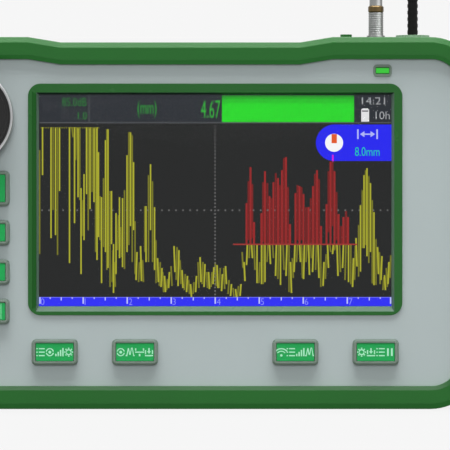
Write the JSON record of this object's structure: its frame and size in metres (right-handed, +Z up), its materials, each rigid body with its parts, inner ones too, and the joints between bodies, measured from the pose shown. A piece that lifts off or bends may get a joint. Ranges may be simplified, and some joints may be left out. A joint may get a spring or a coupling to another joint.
{
  "type": "ultrasonic case depth tester",
  "caption": "Box-shaped ultrasonic instrument with a wide colour screen, keypad, push-and-turn knob, folding rear stand, green rubber bumpers and coiled probe and data leads.",
  "frame": {"origin": "middle of the body's bottom edge, on the surface that it stands on; the leads aren't counted", "axes": "+X to the right of the front, +Z up, and the front with the screen faces -Y"},
  "size_m": [0.26, 0.1313, 0.2313],
  "materials": {
    "panel": "light grey, fine texture",
    "case": "light grey, fine texture",
    "bumper": "moulded green rubber, satin",
    "bezel": "green, satin",
    "window": "polished cover glass",
    "display": "dark display module",
    "board": "circuit board",
    "seal": "black sealing ring",
    "key_frame": "grey, moulded",
    "key_mat": "silicone mat with domes",
    "key_cap": "green with printed signs",
    "lamp_lens": "clear green lens",
    "steel": "machined",
    "plunger": "natural plastic",
    "knob": "black, fluted grip",
    "knob_ring": "bright turned ring",
    "knob_face": "dark grey, matt",
    "battery": "cells in a blue sleeve",
    "pad": "black foot",
    "nickel": "nickel plate",
    "brass": "dark brass ring",
    "cable": "black cable jacket",
    "black_plastic": "black, moulded",
    "probe_metal": "anodised housing",
    "acrylic": "amber acrylic wedge"
  },
  "bodies": {
    "instrument": {"front_panel": "panel", "rear_case": "case", "front_bumper": "bumper", "rear_bumper": "bumper", "case_seal": "seal", "screen_bezel": "bezel", "display_window": "window", "lcd_module": "display", "main_board": "board", "key_frames": "key_frame", "key_mat": "key_mat", "key_board": "board", "lamp_frame": "key_frame", "lamp_lens": "lamp_lens", "encoder_body": "steel", "encoder_nut": "nickel", "battery_pack": "battery", "battery_door": "case", "battery_door_screws": "steel", "case_screws": "steel", "stand_pins": "steel", "probe_sockets": "nickel", "data_socket": "nickel", "socket_nuts": "nickel", "probe_plug_sleeve": "nickel", "probe_plug_ring": "brass", "probe_plug_nut": "nickel", "probe_plug_relief": "cable", "probe_lead": "cable", "probe_lead_coil": "cable", "probe_housing": "probe_metal", "probe_wedge": "acrylic", "data_plug": "black_plastic", "data_plug_relief": "cable", "data_lead": "cable", "data_lead_coil": "cable", "usb_plug": "black_plastic", "usb_shell": "steel", "coil_ties": "pad"},
    "menu_key_1_body": {"menu_key_1": "key_cap"},
    "menu_key_2_body": {"menu_key_2": "key_cap"},
    "menu_key_3_body": {"menu_key_3": "key_cap"},
    "menu_key_4_body": {"menu_key_4": "key_cap"},
    "side_key_1_body": {"side_key_1": "key_cap"},
    "side_key_2_body": {"side_key_2": "key_cap"},
    "side_key_3_body": {"side_key_3": "key_cap"},
    "side_key_4_body": {"side_key_4": "key_cap"},
    "side_key_5_body": {"side_key_5": "key_cap"},
    "side_key_6_body": {"side_key_6": "key_cap"},
    "side_key_7_body": {"side_key_7": "key_cap"},
    "side_key_8_body": {"side_key_8": "key_cap"},
    "knob_plunger": {"encoder_plunger": "plunger"},
    "knob_turning": {"encoder_shaft": "steel", "knob": "knob", "knob_ring": "knob_ring", "knob_face": "knob_face"},
    "folding_stand": {"stand": "case", "stand_pad": "pad"}
  },
  "joints": [
    {"name": "menu_key_1_press", "type": "slide", "parent": "instrument", "child": "menu_key_1_body", "axis": [0, 1, 0], "range_m": [0, 0.0009], "stiffness_N_per_m": 400},
    {"name": "menu_key_2_press", "type": "slide", "parent": "instrument", "child": "menu_key_2_body", "axis": [0, 1, 0], "range_m": [0, 0.0009], "stiffness_N_per_m": 400},
    {"name": "menu_key_3_press", "type": "slide", "parent": "instrument", "child": "menu_key_3_body", "axis": [0, 1, 0], "range_m": [0, 0.0009], "stiffness_N_per_m": 400},
    {"name": "menu_key_4_press", "type": "slide", "parent": "instrument", "child": "menu_key_4_body", "axis": [0, 1, 0], "range_m": [0, 0.0009], "stiffness_N_per_m": 400},
    {"name": "side_key_1_press", "type": "slide", "parent": "instrument", "child": "side_key_1_body", "axis": [0, 1, 0], "range_m": [0, 0.0009], "stiffness_N_per_m": 400},
    {"name": "side_key_2_press", "type": "slide", "parent": "instrument", "child": "side_key_2_body", "axis": [0, 1, 0], "range_m": [0, 0.0009], "stiffness_N_per_m": 400},
    {"name": "side_key_3_press", "type": "slide", "parent": "instrument", "child": "side_key_3_body", "axis": [0, 1, 0], "range_m": [0, 0.0009], "stiffness_N_per_m": 400},
    {"name": "side_key_4_press", "type": "slide", "parent": "instrument", "child": "side_key_4_body", "axis": [0, 1, 0], "range_m": [0, 0.0009], "stiffness_N_per_m": 400},
    {"name": "side_key_5_press", "type": "slide", "parent": "instrument", "child": "side_key_5_body", "axis": [0, 1, 0], "range_m": [0, 0.0009], "stiffness_N_per_m": 400},
    {"name": "side_key_6_press", "type": "slide", "parent": "instrument", "child": "side_key_6_body", "axis": [0, 1, 0], "range_m": [0, 0.0009], "stiffness_N_per_m": 400},
    {"name": "side_key_7_press", "type": "slide", "parent": "instrument", "child": "side_key_7_body", "axis": [0, 1, 0], "range_m": [0, 0.0009], "stiffness_N_per_m": 400},
    {"name": "side_key_8_press", "type": "slide", "parent": "instrument", "child": "side_key_8_body", "axis": [0, 1, 0], "range_m": [0, 0.0009], "stiffness_N_per_m": 400},
    {"name": "knob_push", "type": "slide", "parent": "instrument", "child": "knob_plunger", "axis": [0, 1, 0], "range_m": [0, 0.0005], "stiffness_N_per_m": 2000},
    {"name": "knob_turn", "type": "hinge", "parent": "knob_plunger", "child": "knob_turning", "pos_m": [-0.09245, 0, 0.1255], "axis": [0, -1, 0], "continuous": true},
    {"name": "stand_fold", "type": "hinge", "parent": "instrument", "child": "folding_stand", "pos_m": [0, 0.03, 0.132], "axis": [1, 0, 0], "range_deg": [0, 55]}
  ]
}
